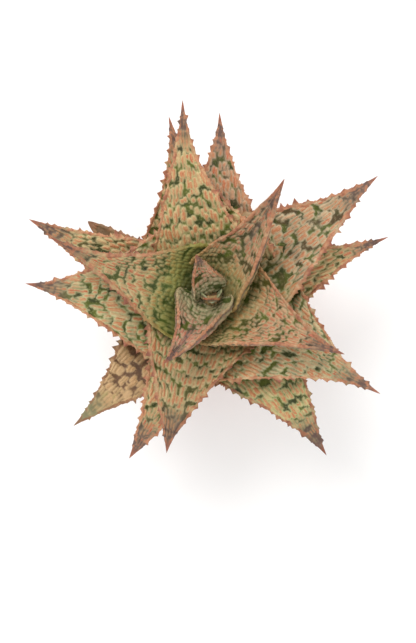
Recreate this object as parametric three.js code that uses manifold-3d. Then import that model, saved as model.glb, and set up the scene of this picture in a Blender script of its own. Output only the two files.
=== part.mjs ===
// Potted firecracker aloe: a rosette of broad channelled leaves on a short rooted stem, in a plain clay pot.
// Millimetres and degrees, +Z up. The origin is the centre of the pot's base, on the pot's axis.
import * as THREE from "three";
import { mergeVertices } from "three/addons/utils/BufferGeometryUtils.js";
import Module from "manifold-3d";

const wasm = await Module();
wasm.setup();

// Driving dimensions
const gap = 0.3; // clearance where two pieces touch

const pot = {
  height: 86,
  baseRadius: 34,
  shoulderRadius: 44, // outside of the body where the rim band starts
  rimRadius: 48,
  rimHeight: 20,
  wall: 4.5,
  rimWall: 5.5,
  floor: 6,
  edge: 1.5, // chamfer on the rim and the foot
  holeRadius: 4.5,
  holeCircle: 19,
  holeCount: 3,
  holeSides: 20,
  sides: 48,
};

// flatTo and bendAt are shares of the soil's radius, bendDrop is a share of its dome.
const soil = { top: 78, dome: 2, flatTo: 0.45, bendAt: 0.8, bendDrop: 0.4 };

const stem = {
  bottom: 48,
  widestFrom: 62,
  widestTo: 84,
  top: 111,
  footRadius: 4.7,
  widestRadius: 8.5,
  topRadius: 4,
  topEdge: 1,
  sides: 16,
};

// Each root runs outwards and down. rootCourse holds shares of its reach and depth along the way.
const rootStart = { out: 2, height: 58 };
const rootCourse = [
  { out: 0.4, down: 0.19 },
  { out: 0.8, down: 0.53 },
];
const rootSteps = 7;
const rootSides = 4; // for each quarter turn of a root
const rootEndLean = 0.3; // share of a clearance that goes outwards at a root's end

const roots = [
  { direction: 20, reach: 26, depth: 26, radius: 2.4 },
  { direction: 95, reach: 22, depth: 34, radius: 2.1 },
  { direction: 165, reach: 27, depth: 24, radius: 2.3 },
  { direction: 235, reach: 23, depth: 33, radius: 2.2 },
  { direction: 310, reach: 25, depth: 28, radius: 2.4 },
];

// One row for each leaf, from the oldest to the youngest.
// direction: the way it points, counted from +X towards +Y. reach: from the axis to its tip.
// base, tip: heights of the two ends of the midrib. arch, bow: rise and sideways bend at its middle.
// halfWidth, taper: size and sharpness of the outline. channel, clasp: how far each half of the
// cross-section turns up, on the blade and at the base. roll: turn about the midrib.
const leaves = [
  { name: "lower_leaf_1", direction: -137, reach: 105, base: 86, tip: 97, arch: 2, bow: 2,
    halfWidth: 48, taper: 1.35, channel: 25, clasp: 20, roll: 12, thickness: 7.5, colour: 0xb39467 },
  { name: "lower_leaf_2", direction: 148.5, reach: 80, base: 83, tip: 103, arch: 0, bow: 3,
    halfWidth: 18, taper: 0.7, channel: 30, clasp: 20, roll: 6, thickness: 6, colour: 0xa08a62 },
  { name: "lower_leaf_3", direction: -54, reach: 108, base: 87, tip: 103, arch: 2, bow: 2,
    halfWidth: 49, taper: 1.3, channel: 30, clasp: 20, roll: 8, thickness: 8.5, colour: 0x9a8f5c },
  { name: "lower_leaf_4", direction: 87.5, reach: 101.5, base: 87, tip: 105, arch: 1, bow: -2,
    halfWidth: 49, taper: 1.5, channel: 30, clasp: 20, roll: 4, thickness: 8.5, colour: 0xa3805f },
  { name: "lower_leaf_5", direction: -117, reach: 99, base: 89, tip: 112, arch: 1, bow: 2.5,
    halfWidth: 34, taper: 1.1, channel: 30, clasp: 20, roll: 1, thickness: 8.5, colour: 0x98835c },
  { name: "lower_leaf_6", direction: 18.7, reach: 102, base: 88, tip: 110, arch: 1, bow: -1,
    halfWidth: 50, taper: 1.65, channel: 30, clasp: 20, roll: 12, thickness: 8.5, colour: 0x8f8355 },
  { name: "lower_leaf_7", direction: 157, reach: 108, base: 89, tip: 113, arch: 1, bow: 2,
    halfWidth: 32, taper: 1.15, channel: 35, clasp: 20, roll: 0, thickness: 7, colour: 0xa18a63 },
  { name: "lower_leaf_8", direction: 103.3, reach: 101.2, base: 91, tip: 111, arch: 1, bow: 0,
    halfWidth: 64, taper: 1.65, channel: 35, clasp: 25, roll: -8, thickness: 8.5, colour: 0xa97d62 },
  { name: "middle_leaf_1", direction: 176, reach: 101, base: 96, tip: 118, arch: 1, bow: 2,
    halfWidth: 62, taper: 1.5, channel: 30, clasp: 20, roll: -2, thickness: 10, colour: 0x8f8c58 },
  { name: "middle_leaf_2", direction: -30, reach: 105, base: 92, tip: 121, arch: 1, bow: 0,
    halfWidth: 68, taper: 1.65, channel: 40, clasp: 25, roll: 0, thickness: 10, colour: 0x8b8a5d },
  { name: "middle_leaf_3", direction: 35.9, reach: 110, base: 97, tip: 125, arch: 1, bow: -1.8,
    halfWidth: 51, taper: 1.35, channel: 35, clasp: 25, roll: -14, thickness: 10, colour: 0xa39066 },
  { name: "middle_leaf_4", direction: 98.4, reach: 106.2, base: 97, tip: 125, arch: 1, bow: 3.5,
    halfWidth: 44, taper: 1.5, channel: 40, clasp: 35, roll: 0, thickness: 10, colour: 0x9b9160 },
  { name: "middle_leaf_5", direction: -106, reach: 86, base: 97, tip: 138, arch: 0, bow: -3,
    halfWidth: 48, taper: 1.2, channel: 50, clasp: 35, roll: 0, thickness: 10, colour: 0x938058 },
  { name: "middle_leaf_6", direction: 160, reach: 90, base: 105, tip: 140, arch: 0, bow: 4,
    halfWidth: 46, taper: 1.8, channel: 50, clasp: 40, roll: -3, thickness: 10, colour: 0x7f8b48 },
  { name: "inner_leaf_1", direction: -24, reach: 74.5, base: 102, tip: 157, arch: 0, bow: -1,
    halfWidth: 51, taper: 1.65, channel: 65, clasp: 45, roll: -8, thickness: 9.5, colour: 0xa67c5c },
  { name: "inner_leaf_2", direction: 58, reach: 70, base: 105, tip: 160, arch: 0, bow: -2,
    halfWidth: 32, taper: 1.3, channel: 78, clasp: 60, roll: -16, thickness: 9.5, colour: 0xa3785a },
  { name: "inner_leaf_3", direction: -125, reach: 43, base: 108, tip: 157, arch: 0, bow: 2,
    halfWidth: 29, taper: 1.35, channel: 80, clasp: 70, roll: 17, thickness: 8.5, colour: 0xa5775c },
  { name: "inner_leaf_4", direction: 111, reach: 23, base: 110, tip: 145, arch: 0, bow: 0,
    halfWidth: 14.5, taper: 1.1, channel: 48, clasp: 62, roll: 4, thickness: 7.5, colour: 0xab795c },
  { name: "heart_leaf_1", direction: -88, reach: 3.2, base: 110, tip: 128, arch: 0, bow: 0,
    halfWidth: 9.5, taper: 0.45, channel: 80, clasp: 85, roll: 0, thickness: 2.6, colour: 0x93a06c },
  { name: "heart_leaf_2", direction: -90, reach: 1.6, base: 111, tip: 136, arch: 0, bow: 0,
    halfWidth: 6.3, taper: 0.75, channel: 14, clasp: 14, roll: 0, thickness: 5, colour: 0x8fa065 },
];

const rootedAt = 4; // where each midrib starts, out from the axis and inside the stem
const shortRoot = 0.3; // the same for a short leaf, as a share of its reach
const leafRows = 11;
const leafColumns = 5; // points across the upper face, margins included
const waist = { depth: 0.55, run: 0.1 }; // how a leaf is drawn in where it clasps the stem
const claspRun = 0.15; // how soon the clasping section turns into that of the blade
const spine = { half: 1, run: 3.5 }; // the slender tip: half its width, and how soon it reaches it
const upperSwell = 0.3; // share of the thickness over the blade's middle surface, the rest is under it
const swellPower = 0.75;
const thinnest = 0.1;
const mostWidened = 0.3; // limit on how far a clearance widens a narrow section

const radians = THREE.MathUtils.degToRad;

function material(colour, roughness) {
  return new THREE.MeshStandardMaterial({ color: colour, roughness, metalness: 0 });
}

// Solids and meshes
function solidOf(positions, indices) {
  return new wasm.Manifold(new wasm.Mesh({
    numProp: 3,
    vertProperties: Float32Array.from(positions),
    triVerts: Uint32Array.from(indices),
  }));
}

function solidOfGeometry(geometry) {
  geometry.deleteAttribute("normal");
  geometry.deleteAttribute("uv");
  const merged = mergeVertices(geometry, 1e-4);
  const index = merged.index.array;
  const corner = (i) => new THREE.Vector3().fromBufferAttribute(merged.attributes.position, index[i]);
  const kept = [];
  for (let i = 0; i < index.length; i += 3) {
    const side = corner(i + 1).sub(corner(i));
    if (side.cross(corner(i + 2).sub(corner(i))).length() > 1e-6) {
      kept.push(index[i], index[i + 1], index[i + 2]);
    }
  }
  return solidOf(merged.attributes.position.array, kept);
}

function largestBody(solid) {
  return solid.decompose().sort((a, b) => b.volume() - a.volume())[0];
}

function meshOf(name, solid, meshMaterial) {
  const { vertProperties, triVerts } = solid.getMesh();
  const geometry = new THREE.BufferGeometry();
  geometry.setAttribute("position", new THREE.BufferAttribute(vertProperties, 3));
  geometry.setIndex(new THREE.BufferAttribute(triVerts, 1));
  const mesh = new THREE.Mesh(geometry, meshMaterial);
  mesh.name = name;
  return mesh;
}

function turned(profile, sides) {
  const points = profile.map(([radius, height]) => new THREE.Vector2(radius, height));
  const geometry = new THREE.LatheGeometry(points, sides);
  geometry.rotateX(Math.PI / 2); // the lathe's axis is +Y, the pot's is +Z
  return solidOfGeometry(geometry);
}

const shoulder = pot.height - pot.rimHeight;

// Inner radius of the pot at a height: one straight run up to the rim band, another through it
function innerRadius(height) {
  const { lerp } = THREE.MathUtils;
  if (height < shoulder) {
    return lerp(pot.baseRadius, pot.shoulderRadius, height / shoulder) - pot.wall;
  }
  const share = (height - shoulder) / (pot.rimHeight - pot.edge);
  return lerp(pot.shoulderRadius - pot.wall, pot.rimRadius - pot.rimWall, share);
}

function potSolid() {
  const outside = [
    [0, 0],
    [pot.baseRadius - pot.edge, 0],
    [pot.baseRadius, pot.edge],
    [pot.shoulderRadius, shoulder],
    [pot.rimRadius - pot.edge, shoulder],
    [pot.rimRadius, shoulder + pot.edge],
    [pot.rimRadius, pot.height - pot.edge],
    [pot.rimRadius - pot.edge, pot.height],
  ];
  const inside = [
    [pot.rimRadius - pot.rimWall + pot.edge, pot.height],
    [pot.rimRadius - pot.rimWall, pot.height - pot.edge],
    [innerRadius(shoulder), shoulder],
    [innerRadius(pot.floor), pot.floor],
    [0, pot.floor],
  ];
  let solid = turned([...outside, ...inside], pot.sides);
  for (let i = 0; i < pot.holeCount; i += 1) {
    const angle = radians(90 + (360 / pot.holeCount) * i);
    const drain = new THREE.CylinderGeometry(pot.holeRadius, pot.holeRadius, 4 * pot.floor, pot.holeSides);
    drain.rotateX(Math.PI / 2);
    drain.translate(pot.holeCircle * Math.cos(angle), pot.holeCircle * Math.sin(angle), 0);
    solid = solid.subtract(solidOfGeometry(drain));
  }
  return solid;
}

// Stem: a turned core with fleshy roots that bend outwards and down, grown together as one piece
function stemSolid(grow) {
  const core = [
    [0, stem.bottom - grow],
    [stem.footRadius + grow, stem.bottom - grow],
    [stem.widestRadius + grow, stem.widestFrom],
    [stem.widestRadius + grow, stem.widestTo],
    [stem.topRadius + grow, stem.top - stem.topEdge + grow],
    [0, stem.top + grow],
  ];
  let solid = turned(core, stem.sides);
  for (const root of roots) {
    const angle = radians(root.direction);
    const outward = new THREE.Vector3(Math.cos(angle), Math.sin(angle), 0);
    const at = (out, down) => outward.clone().multiplyScalar(out).setZ(rootStart.height - down);
    const path = new THREE.CatmullRomCurve3([
      at(rootStart.out, 0),
      ...rootCourse.map(({ out, down }) => at(root.reach * out, root.depth * down)),
      at(root.reach + grow * rootEndLean, root.depth + grow),
    ]);
    const section = new THREE.Shape();
    section.absarc(0, 0, root.radius + grow, 0, Math.PI * 2, false);
    const steps = { steps: rootSteps, curveSegments: rootSides, extrudePath: path };
    const tube = new THREE.ExtrudeGeometry(section, steps);
    solid = solid.add(solidOfGeometry(tube));
  }
  return solid;
}

function soilSolid(stemSpace) {
  const bottom = pot.floor + gap;
  const edge = soil.top - soil.dome;
  const topRadius = innerRadius(edge) - gap;
  const solid = turned([
    [0, bottom],
    [innerRadius(bottom) - gap, bottom],
    [innerRadius(shoulder) - gap, shoulder],
    [topRadius, edge],
    [topRadius * soil.bendAt, soil.top - soil.dome * soil.bendDrop],
    [topRadius * soil.flatTo, soil.top],
    [0, soil.top],
  ], pot.sides);
  return largestBody(solid.subtract(stemSpace));
}

// Leaf: a crescent section carried along the midrib.
// along runs from 0 at the base to 1 at the tip, across from -1 to 1 between the margins.
function midrib(leaf, along) {
  const angle = radians(leaf.direction);
  const start = Math.min(rootedAt, shortRoot * leaf.reach);
  const out = start + (leaf.reach - start) * along;
  const hump = 4 * along * (1 - along);
  const side = leaf.bow * hump;
  return new THREE.Vector3(
    out * Math.cos(angle) - side * Math.sin(angle),
    out * Math.sin(angle) + side * Math.cos(angle),
    leaf.base + (leaf.tip - leaf.base) * along + leaf.arch * hump,
  );
}

// face is 1 on the upper skin, -1 on the lower skin and 0 on a margin, where the two meet
function leafPoint(leaf, along, across, face, grow) {
  const step = 1e-3;
  const ahead = midrib(leaf, along + step).sub(midrib(leaf, along - step)).normalize();
  const level = new THREE.Vector3(0, 0, 1).cross(ahead).normalize();
  const side = level.clone().applyAxisAngle(ahead, radians(leaf.roll));
  const up = ahead.clone().cross(side);
  const left = Math.min(Math.max(1 - along, 0), 1);
  const toTip = left * Math.hypot(leaf.reach, leaf.tip - leaf.base);
  const drawnIn = 1 - waist.depth * Math.exp(-Math.max(along, 0) / waist.run);
  const blade = leaf.halfWidth * left ** leaf.taper * drawnIn;
  const point = spine.half * (1 - Math.exp(-toTip / spine.run));
  const half = Math.max(Math.hypot(blade, point), thinnest);
  const turn = radians(leaf.channel + (leaf.clasp - leaf.channel) * Math.exp(-along / claspRun));
  const share = face > 0 ? upperSwell : 1 - upperSwell;
  const swell = share * leaf.thickness * (left * (1 - across * across)) ** swellPower;
  const offset = face * (swell + grow);
  const bend = turn * across * (1 + Math.min(grow / half, mostWidened));
  const sideways = (half * Math.sin(bend)) / turn - Math.sin(bend) * offset;
  const upwards = (half * (1 - Math.cos(bend))) / turn + Math.cos(bend) * offset;
  return midrib(leaf, along).addScaledVector(side, sideways).addScaledVector(up, upwards);
}

function leafSolid(leaf, grow) {
  const rows = Array.from({ length: leafRows }, (_, row) => row / leafRows);
  if (grow > 0) {
    rows.unshift(-grow / leaf.reach);
  }
  const positions = [];
  const ring = 2 * leafColumns - 2;
  for (const along of rows) {
    for (let i = 0; i < ring; i += 1) {
      const column = i < leafColumns ? i : ring - i;
      const across = Math.sin((column / (leafColumns - 1) - 0.5) * Math.PI);
      const face = Math.sign(leafColumns - 1 - i) * Math.sign(i);
      positions.push(...leafPoint(leaf, along, across, face, grow).toArray());
    }
  }
  const tip = rows.length * ring;
  positions.push(...midrib(leaf, 1 + grow / leaf.reach).toArray());

  const indices = [];
  for (let row = 0; row < rows.length - 1; row += 1) {
    for (let i = 0; i < ring; i += 1) {
      const here = row * ring + i;
      const next = row * ring + ((i + 1) % ring);
      indices.push(here, next + ring, next, here, here + ring, next + ring);
    }
  }
  const last = tip - ring;
  for (let i = 0; i < ring; i += 1) {
    indices.push(last + i, tip, last + ((i + 1) % ring));
  }
  for (let i = 0; i < leafColumns - 1; i += 1) { // the cut end, a strip between upper and lower skin
    if (i < leafColumns - 2) {
      indices.push(i, i + 1, ring - i - 1);
    }
    if (i > 0) {
      indices.push(i, ring - i - 1, ring - i);
    }
  }
  return solidOf(positions, indices);
}

// Assembly, from the heart outwards: each leaf is cut back from the stem and from every younger leaf
const group = new THREE.Group();
const stemSpace = stemSolid(gap);
let taken = stemSpace;
const leafMeshes = [...leaves].reverse().map((leaf) => {
  const solid = largestBody(leafSolid(leaf, 0).subtract(taken));
  taken = taken.add(leafSolid(leaf, gap));
  return meshOf(leaf.name, solid, material(leaf.colour, 0.55));
});
group.add(meshOf("pot", potSolid(), material(0xb66f4a, 0.85)));
group.add(meshOf("potting_soil", soilSolid(stemSpace), material(0x4b3b2d, 0.95)));
group.add(meshOf("rooted_stem", stemSolid(0), material(0x8c7d54, 0.8)));
group.add(...leafMeshes.reverse());

export default group;
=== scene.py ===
import math
import bmesh
import bpy
import mathutils
import numpy as np
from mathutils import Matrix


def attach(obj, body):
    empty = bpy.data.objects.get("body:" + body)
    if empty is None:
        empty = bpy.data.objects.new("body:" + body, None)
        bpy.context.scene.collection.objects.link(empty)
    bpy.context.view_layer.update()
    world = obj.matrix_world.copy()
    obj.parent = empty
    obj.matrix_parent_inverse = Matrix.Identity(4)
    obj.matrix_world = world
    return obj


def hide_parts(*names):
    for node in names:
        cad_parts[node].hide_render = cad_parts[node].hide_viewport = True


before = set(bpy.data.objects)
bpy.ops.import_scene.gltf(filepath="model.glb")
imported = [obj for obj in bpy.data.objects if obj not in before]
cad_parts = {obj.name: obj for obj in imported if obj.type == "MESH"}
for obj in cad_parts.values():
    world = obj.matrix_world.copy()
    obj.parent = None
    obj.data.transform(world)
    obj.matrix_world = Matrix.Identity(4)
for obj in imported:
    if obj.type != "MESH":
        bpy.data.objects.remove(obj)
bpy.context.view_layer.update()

# Potted firecracker aloe, in metres, +Z up, on the frame's own origin: the centre of the pot's base.
mm = 0.001


# Small helpers on whole arrays

def smoothStep(low, high, x):
    # 0 below low, 1 above high, and an S-curve 3q^2 - 2q^3 between them
    q = np.clip((x - low) / (high - low), 0.0, 1.0)
    return q * q * (3.0 - 2.0 * q)


def softNoise(x, y, seed):
    # value noise from -1 to 1: random heights on a unit lattice, blended with the S-curve in x and y
    table = np.random.default_rng(seed).random((256, 256)) * 2.0 - 1.0
    ix = np.floor(x).astype(int)
    iy = np.floor(y).astype(int)
    fx = smoothStep(0.0, 1.0, x - ix)
    fy = smoothStep(0.0, 1.0, y - iy)
    at = lambda i, j: table[(ix + i) % 256, (iy + j) % 256]
    near = at(0, 0) * (1 - fx) + at(1, 0) * fx
    far = at(0, 1) * (1 - fx) + at(1, 1) * fx
    return near * (1 - fy) + far * fy


def cellRandom(i, j, seed):
    # one fixed random number from 0 to 1 for each whole-number cell (i, j)
    table = np.random.default_rng(seed).random((512, 512))
    return table[i.astype(int) % 512, j.astype(int) % 512]


def ringFaces(rows, columns):
    # quads between neighbouring points of rows closed rings, facing out when the rings turn clockwise
    # seen from the last row
    r, c = np.meshgrid(np.arange(rows - 1), np.arange(columns), indexing="ij")
    here = r * columns + c
    side = r * columns + (c + 1) % columns
    return np.stack([here, here + columns, side + columns, side], -1).reshape(-1, 4)


def closedTube(rings):
    # a stack of rings, closed at both ends by a fan to the ring's own middle
    rows, columns, _ = rings.shape
    points = np.concatenate([rings.reshape(-1, 3), rings[:1].mean(1), rings[-1:].mean(1)])
    c = np.arange(columns)
    n = (c + 1) % columns
    first, last = rows * columns, rows * columns + 1
    top = (rows - 1) * columns
    start = np.stack([c, n, np.full(columns, first)], -1)
    end = np.stack([top + n, top + c, np.full(columns, last)], -1)
    return points, [ringFaces(rows, columns), start, end]


def makePiece(name, points, faceSets, attributes=None):
    # one mesh object at the origin from point and face arrays, with its per-point values
    mesh = bpy.data.meshes.new(name)
    sizes = np.concatenate([np.full(len(f), f.shape[1]) for f in faceSets])
    corners = np.concatenate([f.ravel() for f in faceSets]).astype(np.int32)
    mesh.vertices.add(len(points))
    mesh.vertices.foreach_set("co", np.ascontiguousarray(points, dtype=np.float32).ravel())
    mesh.loops.add(len(corners))
    mesh.loops.foreach_set("vertex_index", corners)
    mesh.polygons.add(len(sizes))
    mesh.polygons.foreach_set("loop_start", np.concatenate([[0], np.cumsum(sizes)[:-1]]).astype(np.int32))
    mesh.polygons.foreach_set("use_smooth", np.ones(len(sizes), dtype=bool))
    mesh.update(calc_edges=True)
    mesh.validate()
    for key, values in (attributes or {}).items():
        layer = mesh.attributes.new(key, "FLOAT", "POINT")
        layer.data.foreach_set("value", np.ascontiguousarray(values, dtype=np.float32).ravel())
    piece = bpy.data.objects.new(name, mesh)
    bpy.context.scene.collection.objects.link(piece)
    return piece


def srgb(red, green, blue):
    # screen colour from 0 to 255 to the linear colour that shaders take
    linear = lambda c: c / 12.92 if c <= 0.04045 else ((c + 0.055) / 1.055) ** 2.4
    return tuple(linear(c / 255.0) for c in (red, green, blue)) + (1.0,)


# Camera and light

studio = {
    "lensHeight": 0.855,        # above the pot's base
    "lensPlace": (-0.0019, -0.0135),
    "seen": 0.3537,             # length of the picture's long side at the outer leaves
    "leafHeight": 0.105,        # where that length is measured
    "sensor": 36.0,
    "key": dict(place=(-0.32, 0.48, 1.05), size=0.5, power=5.8, colour=(1.0, 0.985, 0.965)),
    "fill": dict(place=(0.75, -0.3, 0.8), size=0.8, power=1.5, colour=(0.97, 0.985, 1.0)),
    "lampTarget": (0.0, 0.0, 0.1),
    "sky": 0.92,                # strength of the white surroundings
    "floorHalf": 6.0,
    "floorColour": (0.97, 0.97, 0.965, 1.0),
    "floorRoughness": 0.9,
}


def addCamera():
    # straight down: the focal length is the sensor's side times the distance over the length seen
    data = bpy.data.cameras.new("camera")
    data.sensor_width = studio["sensor"]
    away = studio["lensHeight"] - studio["leafHeight"]
    data.lens = studio["sensor"] * away / studio["seen"]
    data.clip_start = 0.01
    data.clip_end = 10.0
    camera = bpy.data.objects.new("camera", data)
    camera.location = (*studio["lensPlace"], studio["lensHeight"])
    bpy.context.scene.collection.objects.link(camera)
    bpy.context.scene.camera = camera


def addLamp(name, place, size, power, colour):
    # a round lamp turned towards the leaves
    data = bpy.data.lights.new(name, "AREA")
    data.shape = "DISK"
    data.size = size
    data.energy = power
    data.color = colour
    lamp = bpy.data.objects.new(name, data)
    x, y, z = (p - t for p, t in zip(place, studio["lampTarget"]))
    lamp.location = place
    lamp.rotation_euler = (math.atan2(math.hypot(x, y), z), 0.0, math.atan2(y, x) + math.pi / 2)
    bpy.context.scene.collection.objects.link(lamp)


def addStudio():
    # white surroundings, two lamps and a pale floor
    scene = bpy.context.scene
    scene.view_settings.view_transform = "Standard"
    world = bpy.data.worlds.new("studio")
    world.use_nodes = True
    sky = world.node_tree.nodes["Background"]
    sky.inputs["Color"].default_value = (1.0, 1.0, 1.0, 1.0)
    sky.inputs["Strength"].default_value = studio["sky"]
    scene.world = world
    for name in ("key", "fill"):
        addLamp(name, **studio[name])

    edges = [-studio["floorHalf"], studio["floorHalf"]]
    x, y = np.meshgrid(edges, edges)
    points = np.stack([x, y, np.zeros_like(x)], -1).reshape(-1, 3)
    floor = makePiece("studio_floor", points, [np.array([[0, 1, 3, 2]])])
    paint = bpy.data.materials.new("floorPaint")
    paint.use_nodes = True
    shader = paint.node_tree.nodes["Principled BSDF"]
    shader.inputs["Base Color"].default_value = studio["floorColour"]
    shader.inputs["Roughness"].default_value = studio["floorRoughness"]
    floor.data.materials.append(paint)


# Material kit

def newGroup(name, inputs, outputs):
    # an empty node group with its named sockets
    group = bpy.data.node_groups.new(name, "ShaderNodeTree")
    kinds = {"value": "NodeSocketFloat", "colour": "NodeSocketColor"}
    for socket, kind in inputs:
        group.interface.new_socket(socket, in_out="INPUT", socket_type=kinds[kind])
    for socket, kind in outputs:
        group.interface.new_socket(socket, in_out="OUTPUT", socket_type=kinds[kind])
    return group, group.nodes.new("NodeGroupInput"), group.nodes.new("NodeGroupOutput")


class Wiring:
    # short ways to add and link nodes in one tree; a value in place of a link is set on the socket

    def __init__(self, tree):
        self.tree = tree

    def feed(self, socket, source):
        if isinstance(source, bpy.types.NodeSocket):
            self.tree.links.new(source, socket)
        else:
            socket.default_value = source

    def math(self, operation, a, b=0.0, clamp=False):
        node = self.tree.nodes.new("ShaderNodeMath")
        node.operation = operation
        node.use_clamp = clamp
        self.feed(node.inputs[0], a)
        self.feed(node.inputs[1], b)
        return node.outputs[0]

    def times(self, a, b):
        return self.math("MULTIPLY", a, b)

    def less(self, a, b):
        return self.math("SUBTRACT", a, b)

    def plus(self, total, *parts):
        for part in parts:
            total = self.math("ADD", total, part)
        return total

    def ramp(self, value, low, high, fromHigh=False):
        node = self.tree.nodes.new("ShaderNodeMapRange")
        node.interpolation_type = "SMOOTHSTEP"
        self.feed(node.inputs["Value"], value)
        self.feed(node.inputs["From Min"], low)
        self.feed(node.inputs["From Max"], high)
        self.feed(node.inputs["To Min"], 1.0 if fromHigh else 0.0)
        self.feed(node.inputs["To Max"], 0.0 if fromHigh else 1.0)
        return node.outputs["Result"]

    def mix(self, share, a, b):
        node = self.tree.nodes.new("ShaderNodeMix")
        node.data_type = "RGBA"
        self.feed(node.inputs["Factor"], share)
        self.feed(node.inputs[6], a)
        self.feed(node.inputs[7], b)
        return node.outputs[2]

    def noise(self, place, scale, detail=3.0, roughness=0.55):
        node = self.tree.nodes.new("ShaderNodeTexNoise")
        self.feed(node.inputs["Vector"], place)
        self.feed(node.inputs["Scale"], scale)
        self.feed(node.inputs["Detail"], detail)
        self.feed(node.inputs["Roughness"], roughness)
        return node.outputs["Fac"]

    def cells(self, place, scale):
        node = self.tree.nodes.new("ShaderNodeTexVoronoi")
        self.feed(node.inputs["Vector"], place)
        self.feed(node.inputs["Scale"], scale)
        return node.outputs["Distance"]

    def attribute(self, name):
        node = self.tree.nodes.new("ShaderNodeAttribute")
        node.attribute_name = name
        return node.outputs["Fac"]


def newFinish(name, group, finish):
    # a material whose colour, roughness and relief come from one group; returns the group's node as well
    paint = bpy.data.materials.new(name)
    paint.use_nodes = True
    tree = paint.node_tree
    wires = Wiring(tree)
    shader = tree.nodes["Principled BSDF"]
    shader.inputs["Specular IOR Level"].default_value = finish["gloss"]
    placed = tree.nodes.new("ShaderNodeGroup")
    placed.node_tree = group
    bump = tree.nodes.new("ShaderNodeBump")
    bump.inputs["Strength"].default_value = finish.get("bumpStrength", 1.0)
    bump.inputs["Distance"].default_value = finish["bump"]
    wires.feed(bump.inputs["Height"], placed.outputs["Height"])
    wires.feed(shader.inputs["Normal"], bump.outputs["Normal"])
    wires.feed(shader.inputs["Base Color"], placed.outputs["Color"])
    wires.feed(shader.inputs["Roughness"], placed.outputs["Roughness"])
    return paint, wires, placed


# Pot, soil and stem

def bezierCorner(before, corner, after, radius, count=6):
    # a corner replaced by (1-q)^2 a + 2q(1-q) corner + q^2 b, with a and b a radius away from it
    a = corner + (before - corner) * min(1, radius / np.linalg.norm(before - corner))
    b = corner + (after - corner) * min(1, radius / np.linalg.norm(after - corner))
    q = np.linspace(0, 1, count)[:, None]
    return (1 - q) ** 2 * a + 2 * q * (1 - q) * corner + q ** 2 * b


def roundedProfile(corners, radii):
    # an open line of (radius, height) points with every inner corner rounded
    corners = np.array(corners) * mm
    pieces = [corners[:1]]
    for i in range(1, len(corners) - 1):
        pieces.append(bezierCorner(corners[i - 1], corners[i], corners[i + 1], radii[i - 1] * mm))
    return np.concatenate(pieces + [corners[-1:]])


def lathe(name, profile, sides, wobble=None):
    # (r cos a, r sin a, z) for every profile point and angle, closed by a point on the axis at each end;
    # wobble(a, z) is added to r
    angle = np.linspace(0, 2 * math.pi, sides, endpoint=False)[None, :]
    r, z = profile[1:-1, :1], profile[1:-1, 1:]
    if wobble is not None:
        r = r + wobble(angle, z)
    rings = np.stack([r * np.cos(angle), r * np.sin(angle), z + 0 * angle], -1)
    points, faces = closedTube(rings)
    points[-2] = (0, 0, profile[0, 1])
    points[-1] = (0, 0, profile[-1, 1])
    return makePiece(name, points, faces)


def turnedOutwards(piece):
    # face directions worked out again, outwards
    mesh = bmesh.new()
    mesh.from_mesh(piece.data)
    bmesh.ops.recalc_face_normals(mesh, faces=mesh.faces[:])
    mesh.to_mesh(piece.data)
    mesh.free()
    return piece


def applied(piece, kind, **settings):
    # one modifier, set, applied and gone
    modifier = piece.modifiers.new(kind.lower(), kind)
    for key, value in settings.items():
        setattr(modifier, key, value)
    shown = bpy.context.evaluated_depsgraph_get()
    mesh = bpy.data.meshes.new_from_object(piece.evaluated_get(shown))
    piece.modifiers.clear()
    piece.data = mesh
    mesh.polygons.foreach_set("use_smooth", np.ones(len(mesh.polygons), dtype=bool))
    return piece


def earthGroup():
    # grain, specks, painted shade in the low places of the grain and a dry dusty bloom, for everything made
    # of earth and bark
    inputs = [("Scale", "value"), ("Speck Share", "value"), ("Dust Share", "value"), ("Dust Mask", "value"),
              ("Base", "colour"), ("Dark", "colour"), ("Speck", "colour"), ("Dust", "colour")]
    outputs = [("Color", "colour"), ("Roughness", "value"), ("Height", "value")]
    group, source, result = newGroup("earth", inputs, outputs)
    wires = Wiring(group)
    take = source.outputs
    place = group.nodes.new("ShaderNodeTexCoord").outputs["Object"]
    broad = wires.noise(place, take["Scale"], 3.0)
    fine = wires.noise(place, wires.times(take["Scale"], 9.0), 5.0, 0.65)
    cell = wires.cells(place, wires.times(take["Scale"], 14.0))
    body = wires.mix(wires.ramp(broad, 0.35, 0.68), take["Dark"], take["Base"])
    # painted shade: where the fine grain sinks, the body is darkened towards the dark colour as if shaded in
    # the hollows
    hollowShade = wires.times(wires.ramp(fine, 0.4, 0.62, fromHigh=True), 0.35)
    body = wires.mix(hollowShade, body, take["Dark"])
    speck = wires.times(wires.ramp(cell, 0.06, 0.16, fromHigh=True), take["Speck Share"])
    body = wires.mix(speck, body, take["Speck"])
    dust = wires.ramp(wires.plus(broad, wires.times(fine, 0.4)), 0.5, 0.95)
    dust = wires.times(wires.times(dust, take["Dust Mask"]), take["Dust Share"])
    body = wires.mix(dust, body, take["Dust"])
    wires.feed(result.inputs["Color"], body)
    wires.feed(result.inputs["Roughness"], wires.plus(0.78, wires.times(fine, 0.2)))
    wires.feed(result.inputs["Height"], wires.plus(fine, wires.times(speck, -0.5)))
    return group


def earthPaint(name, group, look, dustMask=None):
    # one finish of earth or bark from its dictionary; dustMask(wires) gives where the bloom may lie
    paint, wires, earth = newFinish(name, group, look)
    for socket in ("Base", "Dark", "Speck", "Dust"):
        earth.inputs[socket].default_value = srgb(*look[socket.lower()])
    earth.inputs["Scale"].default_value = look["scale"]
    earth.inputs["Speck Share"].default_value = look["speckShare"]
    earth.inputs["Dust Share"].default_value = look["dustShare"]
    wires.feed(earth.inputs["Dust Mask"], dustMask(wires) if dustMask else 1.0)
    return paint


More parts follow.
